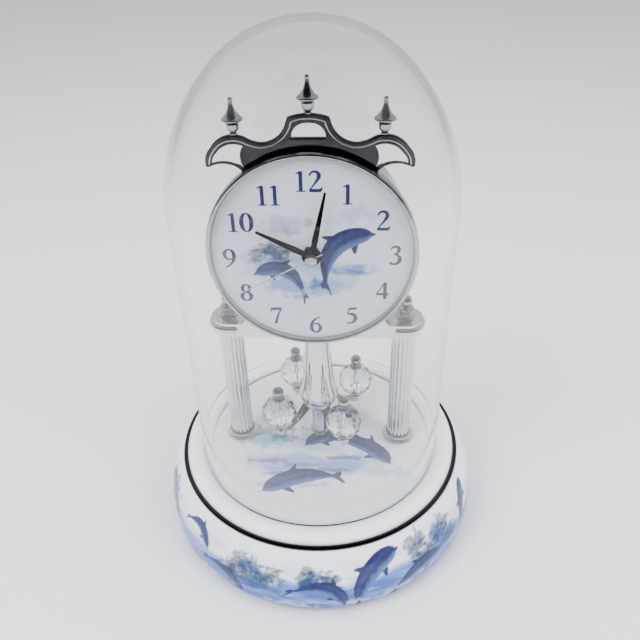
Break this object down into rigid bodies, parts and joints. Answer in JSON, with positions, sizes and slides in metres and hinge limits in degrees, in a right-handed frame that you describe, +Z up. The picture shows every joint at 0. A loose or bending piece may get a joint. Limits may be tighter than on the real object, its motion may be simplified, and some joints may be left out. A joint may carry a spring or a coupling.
{
  "type": "anniversary clock",
  "caption": "Anniversary clock: round dial and crest on two pillars over a turning pendulum of faceted crystals, on a bowl-shaped porcelain base under a glass dome.",
  "frame": {"origin": "centre of the base foot, on the plane the clock stands on", "axes": "+Z up along the dome and pendulum axis, the dial faces -Y, +X to the right as seen from the front"},
  "size_m": [0.1516, 0.1516, 0.2294],
  "materials": {
    "porcelain": "gloss white glaze with a blue and teal sea scene",
    "chrome": "polished dark-toned chrome plate",
    "dome_glass": "clear blown glass, undecorated",
    "crystal": "clear faceted lead crystal",
    "dial": "satin white with blue serif numbers",
    "black_paint": "gloss black",
    "steel": "bright plain steel",
    "black_plastic": "fine matt",
    "white_plastic": "natural acetal",
    "copper": "enamelled winding wire",
    "felt": "dark blue felt",
    "fibreboard": "pressed board",
    "circuit_board": "solder mask",
    "battery_wrap": "plain shrink wrap"
  },
  "bodies": {
    "stand": {"base_body": "porcelain", "base_trim_ring": "chrome", "base_bottom_board": "fibreboard", "base_felt": "felt", "guide_eyelet": "chrome", "pillar_feet": "chrome", "pillar_left": "chrome", "pillar_right": "chrome", "pillar_gaskets": "white_plastic", "pillar_finials": "chrome", "tie_rods": "steel", "rod_washers": "steel", "rod_nuts": "steel", "platform": "chrome", "case_drum": "chrome", "rear_cover": "chrome", "dial_plate": "dial", "bezel": "chrome", "crest": "chrome", "crest_finials": "chrome", "crest_screws": "steel", "case_bolts": "steel", "case_bolt_nuts": "steel", "movement_front_plate": "black_plastic", "movement_rear_shell": "black_plastic", "train_bridge": "white_plastic", "centre_nut": "black_paint", "drive_coil": "copper", "stator": "steel", "circuit_board": "circuit_board", "battery_contacts": "steel", "pendulum_drive_case": "black_plastic", "pendulum_bearing": "white_plastic", "pendulum_coil": "copper"},
    "dome": {"glass_dome": "dome_glass"},
    "pendulum": {"pendulum_shaft": "steel", "pendulum_magnet": "steel", "pendulum_column": "chrome", "pendulum_stem": "chrome", "pendulum_spider": "chrome", "crystal_ball_back_right": "crystal", "crystal_ball_back_left": "crystal", "crystal_ball_front_left": "crystal", "crystal_ball_front_right": "crystal", "crystal_pins": "steel", "crystal_collars": "chrome", "crystal_ball_nuts": "chrome"},
    "minute_train": {"cannon_tube": "white_plastic", "centre_wheel": "white_plastic", "minute_hand": "black_paint"},
    "hour_train": {"hour_wheel": "white_plastic", "hour_hand": "black_paint"},
    "second_train": {"second_wheel": "white_plastic", "second_hand": "steel"},
    "motion_wheel": {"motion_wheel": "white_plastic"},
    "third_wheel": {"third_wheel": "white_plastic"},
    "intermediate_wheel": {"intermediate_wheel": "white_plastic"},
    "rotor": {"rotor": "white_plastic"},
    "setting_knob": {"setting_knob": "black_plastic"},
    "battery": {"battery": "battery_wrap"}
  },
  "joints": [
    {"name": "minute_turn", "type": "hinge", "parent": "stand", "child": "minute_train", "pos_m": [0, 0, 0.147], "axis": [0, 1, 0], "continuous": true},
    {"name": "hour_turn", "type": "hinge", "parent": "stand", "child": "hour_train", "pos_m": [0, 0, 0.147], "axis": [0, 1, 0], "continuous": true},
    {"name": "second_turn", "type": "hinge", "parent": "stand", "child": "second_train", "pos_m": [0, 0, 0.147], "axis": [0, 1, 0], "continuous": true},
    {"name": "motion_turn", "type": "hinge", "parent": "stand", "child": "motion_wheel", "pos_m": [0.0096, 0, 0.147], "axis": [0, 1, 0], "continuous": true},
    {"name": "third_turn", "type": "hinge", "parent": "stand", "child": "third_wheel", "pos_m": [-0.00748, 0, 0.15132], "axis": [0, 1, 0], "continuous": true},
    {"name": "intermediate_turn", "type": "hinge", "parent": "stand", "child": "intermediate_wheel", "pos_m": [0.00146, 0, 0.15527], "axis": [0, 1, 0], "continuous": true},
    {"name": "rotor_turn", "type": "hinge", "parent": "stand", "child": "rotor", "pos_m": [0.00835, 0, 0.15649], "axis": [0, 1, 0], "continuous": true},
    {"name": "knob_turn", "type": "hinge", "parent": "stand", "child": "setting_knob", "pos_m": [0.01791, 0, 0.1518], "axis": [0, 1, 0], "continuous": true},
    {"name": "pendulum_turn", "type": "hinge", "parent": "stand", "child": "pendulum", "pos_m": [0, 0, 0.09], "axis": [0, 0, 1], "range_deg": [-180, 180], "stiffness_Nm_per_rad": 0.00002},
    {"name": "dome_lift", "type": "slide", "parent": "stand", "child": "dome", "axis": [0, 0, 1], "range_m": [0, 0.2]},
    {"name": "battery_slide", "type": "slide", "parent": "stand", "child": "battery", "axis": [0, 1, 0], "range_m": [0, 0.02]}
  ],
  "couplings": [
    {"joint": "hour_turn", "follows": "minute_turn", "ratio": 0.083333},
    {"joint": "second_turn", "follows": "minute_turn", "ratio": 60},
    {"joint": "motion_turn", "follows": "minute_turn", "ratio": -0.33333},
    {"joint": "third_turn", "follows": "minute_turn", "ratio": -8},
    {"joint": "intermediate_turn", "follows": "minute_turn", "ratio": -300},
    {"joint": "rotor_turn", "follows": "minute_turn", "ratio": 1800},
    {"joint": "knob_turn", "follows": "minute_turn", "ratio": 1}
  ]
}
